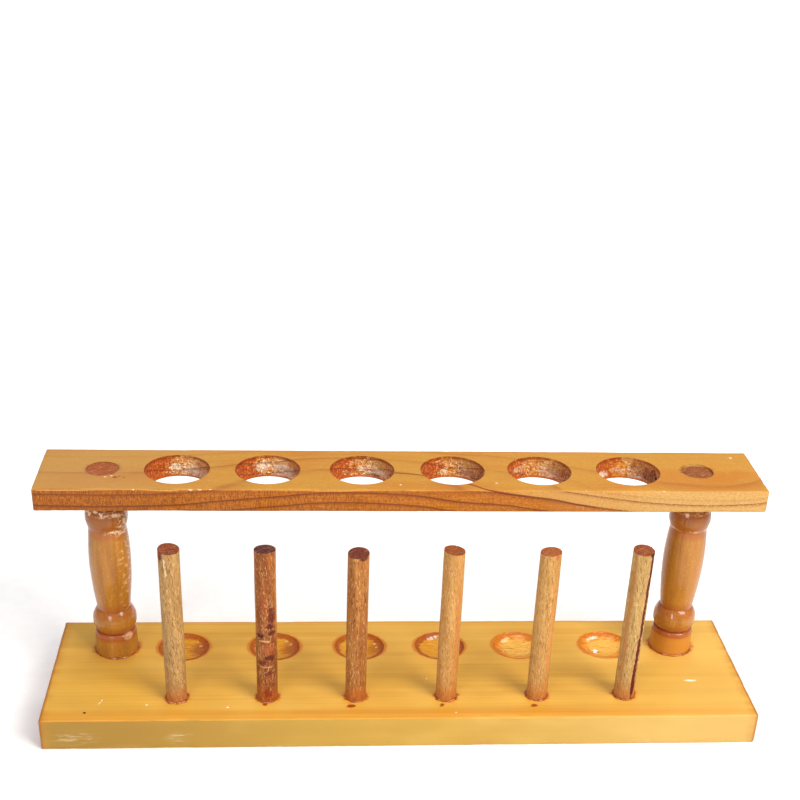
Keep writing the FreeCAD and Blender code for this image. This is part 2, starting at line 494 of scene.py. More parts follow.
def lacquered_pine(finish):
    """Pine, planed and brushed with yellow satin lacquer: honey yellow with faint straight lines."""
    material, tree = new_finish(
        "pine_planed_satin_lacquer", 0.42, coat=0.06, coat_roughness=0.25, ior=1.35)
    place, (at_x, at_y, at_z) = where_it_is(tree)
    face_x, face_y, _ = way_it_faces(tree)
    on_top = (at_z, BASE_HIGH.z / MM - 0.7, BASE_HIGH.z / MM - 0.1)
    on_front = (face_y, -0.6, -0.95)

    lines = grain(tree, place, (120, 0.55, 0.8), detail=3.0)
    bands = grain(tree, place, (220, 5.0, 4.0), detail=2.0)
    clouds = grain(tree, place, (34, 15, 15), detail=2.0)
    heart = nearest(tree, place, [(0, 0.012, -0.045)], flatten=(0, 1, 1))
    rings = add(tree, "Math", {0: heart, 1: 2.4, 2: clouds}, operation="MULTIPLY_ADD")
    rings = add(tree, "Math", {0: rings}, operation="SINE")
    length_way = apart(tree, at_x)
    end_on = apart(tree, face_x)
    colour = layers(
        tree, finish.base_pale,
        (finish.base_line, 0.32, (lines, 0.4, 0.68)),
        (finish.base_line, 0.38, (bands, 0.42, 0.7)),
        ("DDB255", 0.35, (clouds, 0.45, 0.75)),
        ("B58B36", 0.3, (clouds, 0.5, 0.25)),
        # Lacquer ran to the front and back arrises and darkened them; the front face has a duller colour.
        ("D2801A", 0.5, (at_y, -24.0, -28.5), on_top, (bands, 0.3, 0.6)),
        ("C47A1C", 0.6, (at_y, 30.0, 31.0), on_top),
        (finish.base_front, 0.8, on_front),
        # Painted shade on the front face's left end; painted light on the right ends of the front and top
        # faces.
        ("8C6822", 0.7, on_front, (at_x, 0.0, -110.0)),
        ("CEAA64", 0.6, on_front, (at_x, 10.0, 110.0)),
        ("EAC067", 0.35, on_top, (at_x, 50.0, 115.0)),
        ("D8B460", 0.25, on_front, (clouds, 0.45, 0.7)),
        # The ends are end grain, with growth rings round a heart that lay below the board.
        ("B47425", 0.7, (end_on, 0.5, 0.95)),
        ("8A4F16", 0.55, (end_on, 0.5, 0.95), (rings, 0.1, 1.0)),
        ("B87420", 0.5, (length_way, 120.5, 124.5), (bands, 0.3, 0.6)),
        ("9A5414", 0.7, (length_way, 123.5, 124.6)),
    )

    # Lacquer soaked in round every hole that was cut, and further along the grain than across it.
    wander = grain(tree, place, (2.6, 0.9, 1.2), detail=4.0, roughness=0.65)
    for centres, radius, reach, strength, darkest in (
        (SEATS, SEAT_RADIUS / MM, 0.2, 0.7, 0.35),
        (PEGS, PEG_RADIUS / MM, 0.9, 0.85, 0.85),
        (POST_AXES, FOOT_RADIUS / MM, 0.9, 0.6, 0.5),
    ):
        edge = nearest(tree, place, centres, flatten=(0.9, 1, 0))
        edge = ragged(tree, edge, wander, 0.6 + 1.6 * reach)
        colour = layers(
            tree, colour,
            ("D07C1E", strength, (edge, radius + reach, radius), on_top),
            (finish.stain, darkest, (edge, radius + 0.4 * reach, radius - 0.4), on_top),
        )

    for x, y, half_width in STAIN_DRIPS:
        drip = nearest(tree, place, [(x * MM, y * MM, 0)], flatten=(0.8, 1, 0))
        drip = ragged(tree, drip, wander, 1.1)
        colour = glaze(tree, colour, "963406", 0.95, (drip, half_width + 0.2, half_width - 0.3), on_top)
    knot = nearest(tree, place, [(-0.1100, -0.0267, 0)])
    colour = glaze(tree, colour, "24140C", 1.0, (knot, 0.6, 0.4), on_top)

    # Chalky scuffs near the left end of the front face.
    chalk = grain(tree, place, (5.0, 1.0, 0.7), detail=4.0, roughness=0.65, distortion=0.6)
    for x, z, squeeze, size in ((-113, 4.8, 0.42, 4.2), (-77, 4.6, 0.5, 3.6)):
        rubbed = nearest(tree, place, [(x * MM, 0, z * MM)], flatten=(squeeze, 0, 1))
        colour = glaze(tree, colour, "E9DAB4", 0.32, (rubbed, size, 0.6), (chalk, 0.46, 0.64), on_front)

    return coated(material, colour, lines, 0.02 * MM)


# Painted highlights on the pooled lacquer, pale spots where the lights reflect: seat, angle in degrees,
# distance from the seat's middle and half width in mm, colour and strength.
SEAT_HIGHLIGHTS = [
    (1, 20, 6.4, 0.7, "E8C8A0", 0.5), (1, 45, 6.8, 0.5, "E8C8A0", 0.5),
    (2, 25, 6.6, 0.7, "EED0A8", 0.5), (2, 50, 6.6, 0.5, "EED0A8", 0.5),
    (3, 28, 6.6, 0.6, "F0D8B0", 0.5), (3, 8, 6.4, 0.5, "F0D8B0", 0.4),
    (4, 120, 7.1, 0.8, "FAE6D2", 0.5), (4, 109, 7.2, 1.0, "FFF0E4", 0.6),
    (4, 97, 7.3, 0.8, "FAE6D2", 0.5), (5, 143, 6.6, 0.8, "F6DCA4", 0.5),
    (5, 133, 6.7, 0.95, "FCE8BC", 0.5), (5, 123, 6.7, 0.95, "FCE8BC", 0.5),
    (5, 113, 6.7, 0.8, "F6DCA4", 0.5), (6, 138, 6.9, 0.85, "F6D8AC", 0.5),
    (6, 129, 7.0, 1.0, "FFEEDC", 0.6), (6, 120, 7.0, 1.05, "FFF0E2", 0.65),
    (6, 111, 7.0, 1.0, "FFEEDC", 0.6), (6, 102, 7.0, 0.8, "F6DCB4", 0.5),
    (6, 205, 3.7, 1.15, "FFF2F4", 1.0), (6, 217, 4.6, 0.85, "FFE8EE", 0.9),
]


def pooled_lacquer(finish):
    """Lacquer that pooled in a bored seat: golden and glossy, dark where it soaked into the rim."""
    material, tree = new_finish("pine_bored_pooled_lacquer", 0.3, coat=0.2, coat_roughness=0.05, ior=1.3)
    place, (_, at_y, _) = where_it_is(tree)
    wander = grain(tree, place, (2.6, 1.7, 1.6), detail=3.0)
    swirls = grain(tree, place, (4.5, 1.5, 1.5), detail=2.0, distortion=1.2)
    golden = (nearest(tree, place, SEATS[4:]), 11.0, 10.0)
    rim = nearest(tree, place, SEATS, flatten=(0.95, 1, 0))
    line = apart(tree, ragged(tree, rim, swirls, 2.6), 5.6)
    colour = glaze(tree, finish.seat_gold, "B46C12", 0.5, (swirls, 0.45, 0.7))

    # Painted shade darkens the right side of the first four seats, the first two most; the last two get a
    # golden colour further on.
    for seats, strength in ((SEATS[:2], 0.75), (SEATS[2:4], 0.5)):
        right_sides = [seat + Vector((7.5 * MM, 0, 0)) for seat in seats]
        shaded = ragged(tree, nearest(tree, place, right_sides), wander, 2.0)
        colour = glaze(tree, colour, "9E4608", strength, (shaded, 7.0, 2.5))
    colour = layers(
        tree, colour,
        ("E6B250", 0.9, golden, (swirls, 0.8, 0.45)),
        (finish.stain, 0.9, (ragged(tree, rim, wander, 1.4), 6.5, 7.5)),
        ("E08A1C", 0.85, golden, (ragged(tree, rim, wander, 2.4), 5.2, 6.6)),
        ("B85E0C", 0.6, golden, (ragged(tree, rim, swirls, 4.0), 7.2, 8.0)),
        ("BC660E", 0.55, golden, (line, 0.7, 0.25), (at_y, 16.0, 13.0)),
    )
    # Each is a painted highlight, laid over the lacquer's colour.
    for number, angle, distance, half_width, shade, strength in SEAT_HIGHLIGHTS:
        middle = SEATS[number - 1] + distance * MM * heading(angle)
        middle.z = BASE_HIGH.z
        colour = blotch(tree, colour, place, wander, middle, half_width, 3.0, shade, strength, 0.8)
    return coated(material, colour, swirls, 0.7 * MM)


def bare_chip():
    """Fresh wood in a chip where the lacquer broke away: pale, dry and fibrous."""
    material, tree = new_finish("wood_chipped_bare", 0.75)
    place, _ = where_it_is(tree)
    fibres = grain(tree, place, (2.0, 0.4, 0.4))
    colour = glaze(tree, "F0E0C4", "D6B280", 1.0, (fibres, 0.44, 0.68))
    return coated(material, colour, fibres, 0.1 * MM)


# Height in mm from the upper arris of the arched growth line on the upper board's front face.
FIR_CREST = [
    (-125, -6.0), (-107, -6.2), (-83, -5.9), (-63, -4.2), (-43, -2.3), (-24, -0.9), (-2, -1.6),
    (21, -4.4), (29, -4.9), (42, -6.7), (59, -9.5), (72, -11.4), (97, -13.4), (115, -13.4), (125, -12.4),
]
# The growth of each winter line, counted in mm out from that line, and how dark it is.
FIR_WINTERS = [(-3.3, 0.9), (0.45, 1.0), (4.7, 0.8), (8.8, 0.85), (10.6, 0.35), (14.3, 0.6), (22.0, 0.4)]
# A line of bled resin: X, and the distance back from the front arris or, where negative, down from it.
RESIN_LINE = [
    (-3, 13.35), (6.5, 11.55), (22, 4.65), (29, 0), (42, -2.3), (50, -3.3), (59, -5.3), (72, -7.2),
]


def fir_winters(tree, place):
    """The growth in mm at each place of the upper board, how dark its winter lines are there, and the
    distance back from its front arris or, where negative, down from it.

    Growth rings are domes that the saw cut into arches on the front face and into sweeps on the top.
    """
    at_x, at_y, at_z = add(tree, "SeparateXYZ", {0: place}).node.outputs
    below = add(tree, "Math", {0: at_z, 1: TOP_HIGH.z / MM}, operation="SUBTRACT")
    behind = add(tree, "Math", {0: at_y, 1: TOP_LOW.y / MM}, operation="SUBTRACT")
    lean = add(tree, "Math", {0: behind, 1: 0.0098, 2: 0.05}, operation="MULTIPLY_ADD")
    bowed = add(tree, "Math", {0: behind, 1: lean, 2: below}, operation="MULTIPLY_ADD")
    crest = curve_along(tree, at_x, FIR_CREST, -14.0, 0.0)
    straight = add(tree, "Math", {0: bowed, 1: crest}, operation="SUBTRACT")
    wobble = grain(tree, place, (40, 9, 9))
    growth = add(tree, "Math", {0: wobble, 1: 0.9, 2: straight}, operation="MULTIPLY_ADD")

    innermost, outermost = -9.0, 29.0
    share = add(tree, "MapRange", {"Value": growth, "From Min": innermost, "From Max": outermost})
    darkness = add(tree, "ValToRGB", {"Fac": share})
    stops = darkness.node.color_ramp.elements
    stops[0].color = stops[1].color = (0.0, 0.0, 0.0, 1.0)
    for winter, depth in FIR_WINTERS:
        for offset, part in ((-1.6, 0.0), (-0.4, 0.5), (0.0, 1.0), (0.3, 0.0)):
            stop = stops.new((winter + offset - innermost) / (outermost - innermost))
            stop.color = (depth * part,) * 3 + (1.0,)
    unrolled = add(tree, "Math", {0: behind, 1: below}, operation="ADD")
    return growth, darkness, unrolled


# Height in mm of the stripe that varnish darkened, just under the upper board's front arris.
VARNISHED_ARRIS = 84.05
# Stains on the upper board's top face: place and half width in mm, colour and strength.
TOP_STAINS = [
    (-98.6, 7.6, 0.8, "8E3A10", 0.8), (-97.2, 8.2, 0.6, "A04A1C", 0.7), (-95.6, 7.4, 0.5, "8E3A10", 0.6),
    (-101.8, 7.8, 0.5, "E8C8A0", 0.7), (-99.8, 8.6, 0.4, "F0D8B4", 0.8), (112.0, 9.0, 4.5, "B8701C", 0.45),
    (106.0, 7.0, 3.5, "B8701C", 0.4), (118.0, 12.0, 3.5, "B8701C", 0.4), (111.0, 19.0, 3.0, "C07A28", 0.4),
]


def lacquered_fir(finish):
    """Fir, sawn and varnished: orange tan, with a few wide growth rings that arch on the front face."""
    material, tree = new_finish("fir_sawn_satin_varnish", 0.42, coat=0.05, coat_roughness=0.2, ior=1.3)
    place, (at_x, at_y, at_z) = where_it_is(tree)
    face_x, face_y, face_z = way_it_faces(tree)
    on_top = (face_z, 0.5, 0.9)
    on_front = (face_y, -0.6, -0.95)
    on_back = (face_y, 0.6, 0.95)
    growth, winters, unrolled = fir_winters(tree, place)

    fibres = grain(tree, place, (16, 0.5, 0.5), detail=3.0)
    clouds = grain(tree, place, (40, 10, 10), detail=2.0)
    specks = grain(tree, place, (0.9, 0.6, 0.6), detail=2.0, roughness=0.7)
    patchy = grain(tree, place, (30, 8, 8))
    end_on = apart(tree, face_x)
    arris = from_levels(tree, place, VARNISHED_ARRIS)
    ticks = grain(tree, place, (0.33, 6.0, 1.9), detail=2.0)
    wander = grain(tree, place, (1.8, 0.9, 1.2), detail=4.0, roughness=0.65)
    tenon = ragged(tree, nearest(tree, place, POST_AXES, flatten=(0.93, 1, 0)), wander, 2.6)
    colour = layers(
        tree, finish.top_pale,
        ("AD7A35", 0.4, (fibres, 0.4, 0.68)),
        ("B86C20", 0.5, (clouds, 0.45, 0.72)),
        ("C06A14", 0.7, (at_y, TOP_HIGH.y / MM - 1.6, TOP_HIGH.y / MM - 0.5)),
        (finish.top_front, 0.95, on_front),
        ("C2761C", 0.6, on_front, (fibres, 0.48, 0.7)),
        ("8C4A0A", 0.5, on_front, (at_x, -40.0, -110.0)),
        ("C0924C", 0.85, on_front, (growth, 4.4, 5.4), (at_x, 0.0, 50.0)),
        ("BE9654", 0.75, on_front, (at_x, 66.0, 88.0)),
        ("E8BE78", 0.12, on_top, (specks, 0.54, 0.68)),
        ("C48638", 0.4, on_front, (specks, 0.52, 0.66)),
        ("7E430F", 0.5, on_front, (specks, 0.47, 0.36)),
        ("A8661E", 0.25, on_top, (specks, 0.46, 0.34)),
        (finish.top_front, 0.7, on_back),
        (finish.top_line, 0.8, on_back, (winters, 0.0, 1.0)),
        (finish.top_line, 0.95, on_front, (winters, 0.0, 0.9), (patchy, 0.1, 0.4)),
        ("8A4216", 0.6, on_top, (winters, 0.0, 1.0), (patchy, 0.25, 0.55)),
        ("9C5A20", 0.7, (end_on, 0.5, 0.9)),
        ("6E3510", 0.7, (end_on, 0.5, 0.9), (winters, 0.0, 1.0)),
        # Varnish darkened the wood just under the front arris, and saw ticks cross the grain below it.
        ("8E4A16", 0.55, on_front, (arris, 0.7, 0.2), (at_x, 45.0, 20.0), (fibres, 0.35, 0.55)),
        ("703608", 0.65, on_front, (ticks, 0.47, 0.6), (at_x, 90.0, -60.0)),
        ("A87434", 0.35, on_front, (specks, 0.5, 0.6), (at_x, 10.0, 60.0)),
        ("E6C48C", 0.35, on_front, (specks, 0.47, 0.38), (at_x, 40.0, 70.0)),
        # Stain and torn fibres ring the two tenons, on the top face.
        ("8E5022", 0.8, on_top, (tenon, 6.0, 5.3)),
        ("B48E5A", 0.35, on_top, (at_x, -50.0, -110.0)),
    )
    for x, y, half_width, shade, strength in TOP_STAINS:
        middle = Vector((x * MM, y * MM, TOP_HIGH.z))
        colour = blotch(tree, colour, place, wander, middle, half_width, half_width, shade, strength, 1.2)

    # Resin bled along one line from the third hole to the front arris and on down the front face.
    resin = curve_along(tree, at_x, RESIN_LINE, -8.0, 14.0)
    resin = ragged(tree, apart(tree, unrolled, resin), clouds, 0.3)
    colour = glaze(tree, colour, "6E2A0C", 0.85, (resin, 0.5, 0.25), (at_x, -6.0, -3.0),
                   (at_x, 76.0, 60.0))

    return coated(material, colour, fibres, 0.03 * MM)


# Marks on the walls of the tube holes: hole, angle in degrees, height, half width and half height
# in mm, colour and strength.
BORE_MARKS = [
    (1, 96, 80.2, 2.4, 1.5, "EBDCC2", 0.8), (1, 60, 79.0, 4.2, 1.2, "C8AC92", 0.7),
    (1, 20, 82.5, 2.6, 1.2, "9C5A24", 0.7), (2, 100, 80.8, 2.6, 2.2, "F6E6CC", 0.8),
    (2, 62, 80.5, 4.6, 1.8, "CDB298", 0.7), (2, 25, 81.5, 2.6, 1.6, "A05A24", 0.7),
    (3, 88, 80.0, 1.6, 1.1, "E2CDB8", 0.8), (3, 55, 78.9, 3.6, 1.0, "C8A690", 0.7),
    (3, 62, 77.9, 2.4, 0.6, "5E2C14", 0.8), (3, 58, 82.6, 4.5, 1.5, "B8843C", 0.7),
    (3, 15, 80.5, 3.2, 2.5, "8E4A1E", 0.6), (4, 100, 79.0, 1.4, 0.9, "F2E0C6", 0.7),
    (4, 45, 79.4, 5.0, 1.5, "96561C", 0.7), (4, 62, 82.5, 5.0, 1.8, "B07C34", 0.75),
    (4, 15, 80.8, 3.2, 3.0, "8A441C", 0.65), (5, 118, 80.6, 3.2, 1.3, "ECCFA6", 0.5),
    (5, 40, 80.6, 5.0, 1.8, "A46A34", 0.6), (5, 20, 81.0, 3.6, 2.6, "96501F", 0.6),
    (6, 128, 79.2, 2.8, 1.3, "F2D6C4", 0.9), (6, 96, 80.0, 3.2, 0.9, "E4B894", 0.7),
    (6, 50, 81.5, 5.0, 2.6, "8A4818", 0.6), (6, 30, 79.8, 4.0, 2.8, "7A3812", 0.65),
    (6, 40, 78.6, 1.8, 0.8, "5C260E", 0.7), (6, 70, 82.0, 2.0, 0.6, "8A4A1C", 0.6),
    (6, 22, 82.4, 1.6, 1.0, "6A300F", 0.6), (6, 12, 80.6, 0.7, 0.8, "200C08", 0.97),
]


def torn_bore(finish):
    """Walls of the drilled holes: red pitted end grain, pale torn fibres and painted glints, grey scraped
    wood and painted sheen.
    """
    material, tree = new_finish("fir_drilled_torn_grain", 0.6, ior=1.3)
    place, (at_x, _, at_z) = where_it_is(tree)
    winters = fir_winters(tree, place)[1]
    side = add(tree, "Attribute", out="Fac", attribute_name="bore_side")
    wander = grain(tree, place, (2.4, 2.4, 1.8), detail=4.0, roughness=0.7)
    shifted = ragged(tree, side, wander, 0.9)
    off_middle = apart(tree, shifted)
    curls = grain(tree, place, (1.1, 0.9, 0.9), detail=3.0, roughness=0.7, distortion=1.4)
    pits = grain(tree, place, (0.6, 0.6, 0.9), detail=3.0, roughness=0.7)
    scrapes = grain(tree, place, (4.5, 4.5, 1.1), detail=3.0, roughness=0.6)
    upper = (at_z, TOP_HIGH.z / MM - 5.0, TOP_HIGH.z / MM - 2.5)
    rim = (at_z, TOP_HIGH.z / MM - 0.6, TOP_HIGH.z / MM - 1.8)
    stained_rim = (at_z, TOP_HIGH.z / MM - 1.6, TOP_HIGH.z / MM - 0.7)

    # From left to right: red pitted end grain, gold torn grain, and a grey side of scraped wood with
    # painted sheen, whose upper part painted light brightens to gold where shade falls.
    colour = layers(
        tree, finish.bore_red,
        ("D08A2E", 1.0, (shifted, -0.55, 0.0)),
        # Painted sheen over scraped wood greys the right side; painted light brightens its upper part.
        (finish.bore_scrape_and_sheen, 0.9, (shifted, 0.1, 0.35)),
        ("DCA24A", 0.8, (shifted, 0.1, 0.35), upper),
        ("A8682E", 0.7, (shifted, 0.1, 0.35), (scrapes, 0.5, 0.66)),
        ("B4622A", 0.7, (shifted, 0.55, 0.85)),
    )
    for number, angle, height, half_width, half_height, shade, strength in BORE_MARKS:
        middle = HOLES[number - 1] + HOLE_RADIUS * heading(angle)
        middle.z = height * MM
        colour = blotch(tree, colour, place, wander, middle, half_width, half_height, shade, strength, 1.2)
    colour = layers(
        tree, colour,
        ("EDA850", 0.6, (pits, 0.53, 0.63), (shifted, 0.2, -0.2)),
        ("8E3A0C", 0.65, (pits, 0.48, 0.38), (shifted, 0.2, -0.2)),
        ("6E300F", 0.5, (pits, 0.48, 0.4), (shifted, 0.4, 0.7)),
        ("DDB084", 0.4, (pits, 0.54, 0.62), (shifted, 0.4, 0.7)),
        ("8A3C10", 0.75, (curls, 0.47, 0.37), (off_middle, 0.7, 0.3)),
        # Pale torn fibres on the curls, partly painted highlights.
        (finish.bore_fibres_and_glints, 0.9, (curls, 0.53, 0.62), (off_middle, 0.55, 0.2), rim, (at_x, 62.0, 40.0)),
        ("8A3408", 0.75, stained_rim, (wander, 0.35, 0.5)),
        ("6E2810", 0.65, (winters, 0.1, 0.9)),
        ("B4560F", 0.8, (at_z, TOP_LOW.z / MM + 1.1, TOP_LOW.z / MM + 0.4)),
    )
    return coated(material, colour, curls, 0.5 * MM)


# Heights in mm on a post: the grooves between its mouldings, the crease under its head's bead and
# the foot's rounded shoulder.
POST_GROOVES = (21.4, 30.5, 63.4, 71.6)
POST_CREASE = 68.8
POST_SHOULDER = 20.3


def turned_wood(finish, side, axis):
    """Turned hardwood under thick gloss lacquer: orange brown, with waxy highlights and old glue."""
    material, tree = new_finish(
        f"wood_{side}_turned_gloss_lacquer", 0.38, coat=0.6, coat_roughness=0.06, ior=1.25)
    place, (at_x, _, at_z) = where_it_is(tree)
    fibres = grain(tree, place, (0.5, 0.5, 9), detail=3.0)
    figure = grain(tree, place, (5, 5, 45), detail=2.0)
    specks = grain(tree, place, (0.7, 0.7, 0.9), detail=3.0, roughness=0.7)
    smears = grain(tree, place, (2.2, 2.2, 1.3), detail=4.0, roughness=0.7)
    groove = from_levels(tree, place, *POST_GROOVES)
    crease = from_levels(tree, place, POST_CREASE)
    shoulder = from_levels(tree, place, POST_SHOULDER)
    colour = layers(
        tree, finish.post_pale,
        (finish.post_line, 0.6, (figure, 0.4, 0.66)),
        ("8E4E18", 0.3, (fibres, 0.46, 0.68)),
        ("E2AE62", 0.22, (specks, 0.55, 0.68)),
        # Painted shade darkens the grooves and the crease under the head's bead, and the head above the
        # neck is darker; stain reddens the lower bead and the foot's rounded shoulder.
        ("9E4A1C", 0.5, (groove, 4.0, 1.2)),
        ("6A300E", 0.25, (groove, 0.8, 0.1)),
        ("86450C", 0.6, (at_z, 63.0, 65.0)),
        ("8A4614", 0.5, (crease, 1.0, 0.3)),
        ("A34E22", 0.6, (shoulder, 2.2, 0.8)),
    )

    # Glue dried in a band under the upper board and in a crust on the neck. The pale patch on the left
    # foot is a painted highlight, where the key light reflects.
    out_right = add(tree, "Math", {0: at_x, 1: axis.x / MM}, operation="SUBTRACT")
    if side == "left":
        band = from_levels(tree, place, 70.8)
        crust = from_levels(tree, place, 63.2)
        # A painted highlight on the foot's shoulder, where the key light reflects.
        foot_highlight = axis + Vector((5.4 * MM, -5.2 * MM, 20.4 * MM - axis.z))
        foot_highlight = nearest(tree, place, [foot_highlight], flatten=(1, 1, 1.3))
        colour = layers(
            tree, colour,
            (finish.glue_milky, 0.7, (band, 1.7, 0.9), (smears, 0.47, 0.58)),
            ("E6CDA4", 0.6, (out_right, 3.5, 5.5), (smears, 0.46, 0.56), (at_z, 63.5, 66.0)),
            ("E9D4B2", 0.8, (crust, 1.6, 0.3), (smears, 0.46, 0.55), (out_right, -1.0, 2.0)),
            ("D9AE84", 0.8, (foot_highlight, 2.6, 1.4), (smears, 0.4, 0.52)),
            ("E6CA98", 0.5, (out_right, 2.5, 5.5), (smears, 0.53, 0.63), (at_z, 28.0, 34.0)),
        )
    else:
        band = from_levels(tree, place, 64.0)
        rim = from_levels(tree, place, 71.2)
        colour = layers(
            tree, colour,
            ("CA8430", 0.75, (at_z, 20.0, 18.6)),
            ("DDB078", 0.6, (band, 0.7, 0.2), (smears, 0.42, 0.55)),
            ("CF9A66", 0.6, (rim, 1.1, 0.5), (smears, 0.42, 0.56)),
        )
    return coated(material, colour, smears, 0.1 * MM)


def end_grain(name, ground, pores, streak):
    """The sawn end of a stick: dark, matt and full of pores, with streaks that the saw left."""
    material, tree = new_finish(name, 0.6, ior=1.3)
    place, _ = where_it_is(tree)
    pore = grain(tree, place, (0.5, 0.5, 0.5), detail=3.0, roughness=0.65)
    turned_way = add(tree, "Mapping", {"Vector": place, "Rotation": (0, 0, math.radians(-30))})
    scratch = grain(tree, turned_way, (3.4, 0.6, 1.0), detail=3.0)
    colour = layers(
        tree, ground,
        (pores, 0.9, (pore, 0.45, 0.6)),
        (streak, 0.55, (scratch, 0.55, 0.66)),
    )
    return coated(material, colour, pore, 0.3 * MM)


def on_stick(axis, angle, height, depth=0.0):
    """A place on a peg: its angle in degrees round the axis, and its height and depth in mm."""
    middle = axis + (PEG_RADIUS - depth * MM) * heading(angle)
    middle.z = height * MM
    return middle


def raw_dowel(number, pale, dark, fleck, lean, marks):
    """A raw wooden dowel, sanded by hand: fine short fibres that lean with the stick, flecks and marks."""
    material, tree = new_finish(
        f"dowel_{number}_raw_sanded", 0.55, coat=0.04, coat_roughness=0.3, ior=1.3)
    place, (_, _, at_z) = where_it_is(tree)
    axis = PEGS[number - 1]
    centred = add(tree, "Mapping", {"Vector": place, "Location": (-axis.x / MM, -axis.y / MM, 0)})
    leaning = add(tree, "Mapping", {"Vector": centred, "Rotation": (0, math.radians(lean), 0)})
    fibres = grain(tree, leaning, (0.32, 0.32, 2.6), detail=3.0, roughness=0.7)
    pale_fibres = grain(tree, leaning, (0.4, 0.4, 1.8), detail=2.0, roughness=0.7, distortion=0.4)
    bands = grain(tree, leaning, (2.4, 2.4, 30), detail=2.0)
    colour = layers(
        tree, pale,
        (dark, 0.8, (bands, 0.38, 0.65)),
        (fleck, 0.75, (fibres, 0.5, 0.64)),
        ("E6C288", 0.4, (pale_fibres, 0.54, 0.66)),
        ("B4591C", 0.5, (at_z, 21.0, 13.0)),
    )
    wander = grain(tree, centred, (1.1, 1.1, 1.3), detail=3.0, roughness=0.65, distortion=0.6)
    for angle, height, half_width, half_height, depth, shade, strength, raggedness in marks:
        middle = on_stick(axis, angle, height, max(0.0, depth))
        colour = blotch(
            tree, colour, place, wander, middle, half_width, half_height, shade, strength, raggedness)
    return coated(material, colour, fibres, 0.15 * MM)


def hardened_glue(name, thin, thick, roughness):
    """Wood glue that set under lacquer: clear at its thin edge, darker where it is thick."""
    material, tree = new_finish(name, roughness, coat=0.3, coat_roughness=0.05)
    place, _ = where_it_is(tree)
    cloud = grain(tree, place, (1.2, 1.2, 1.2), detail=3.0)
    colour = glaze(tree, thin, thick, 1.0, (cloud, 0.4, 0.6))
    return coated(material, colour, cloud, 0.15 * MM)


def painted_floor(colour):
    """A matt painted studio floor: almost white, with a faint roller texture."""
    material, tree = new_finish("floor_matt_paint", 0.9)
    place, _ = where_it_is(tree)
    roller = grain(tree, place, (6, 6, 6))
    shade = [channel * 0.97 for channel in colour[:3]] + [1.0]
    colour = glaze(tree, colour, shade, 1.0, (roller, 0.3, 0.7))
    return coated(material, colour, roller, 0.05 * MM)


# ---------------------------------------------------------------- pieces

def seat_cutter(seat, top):
    """A cutter for one seat: a short steep rim, ragged where the bit tore it, and a hollowed floor."""
    cutter = turned([
        (0, top - SEAT_DEPTH, 12), (SEAT_FLOOR_RADIUS, top - SEAT_RIM_DEPTH, 3),
        (SEAT_RADIUS, top, 0), (SEAT_RADIUS + OVERSHOOT, top + OVERSHOOT, 0), (0, top + OVERSHOOT, 0),
    ], seat.x, seat.y, 96)
    hollow = SEAT_DEPTH - SEAT_RIM_DEPTH
    for vertex in cutter.verts:
        radius, away = from_axis(vertex.co, seat.x, seat.y)
        share = radius / SEAT_FLOOR_RADIUS
        if vertex.co.z < top - SEAT_RIM_DEPTH + 1e-6 and share <= 1.0:
            vertex.co.z = top - SEAT_DEPTH + hollow * share * share
            vertex.co.z += 0.08 * MM * noise.noise(vertex.co / (2.5 * MM))
        elif vertex.co.z < top + 0.5 * MM:
            vertex.co += away * 0.25 * MM * noise.noise(vertex.co / (1.6 * MM))
    return number_faces(cutter, 1)


# Knocks in the base board's top face: place, half length and half width in mm, and turn in degrees.
BASE_KNOCKS = [
    (-105.6, -21.2, 0.9, 0.22, 60), (-104.9, -19.6, 0.8, 0.2, 75), (-61.3, -24.2, 0.5, 0.4, 20),
    (18.0, -28.3, 0.4, 0.3, 0), (9.3, -7.5, 0.5, 0.35, 30), (105.8, -9.9, 2.4, 0.75, 3),
    (-89.3, -22.4, 0.6, 0.25, 10),
]


class RACK_OT_base_board(bpy.types.Operator):
    """Make the base board with its dished seats, peg sockets, post mortises and knocks"""
    bl_idname = "rack.base_board"
    bl_label = "Base Board"

    def execute(self, context):
        sizes, finish = context.scene.rack_shape, context.scene.rack_finish
        top = BASE_HIGH.z
        board = sawn_board(BASE_LOW, BASE_HIGH, 1.8 * MM, sizes.arris_ease)
        wear_board(board, BASE_LOW, BASE_HIGH, sizes.arris_ease, sizes.arris_wear, sizes.plane_waves)
        cutters = [seat_cutter(seat, top) for seat in SEATS]
        for places, radius, depth in (
            (PEGS, SOCKET_RADIUS, SOCKET_DEPTH), (POST_AXES, MORTISE_RADIUS, MORTISE_DEPTH),
        ):
            cutters += [blind_cutter(place, radius, top - depth, top + OVERSHOOT) for place in places]
        for x, y, length, width, turn in BASE_KNOCKS:
            spot = Vector((x * MM, y * MM, top))
            cutters.append(chip_cutter(spot, (length * MM, width * MM, 0.16 * MM), math.radians(turn), 2))
        board = cut_away(board, cutters)
        finish_piece(
            board, "base_board_wood",
            [lacquered_pine(finish), pooled_lacquer(finish), bare_chip()], ["base_board"],
        )
        return {"FINISHED"}


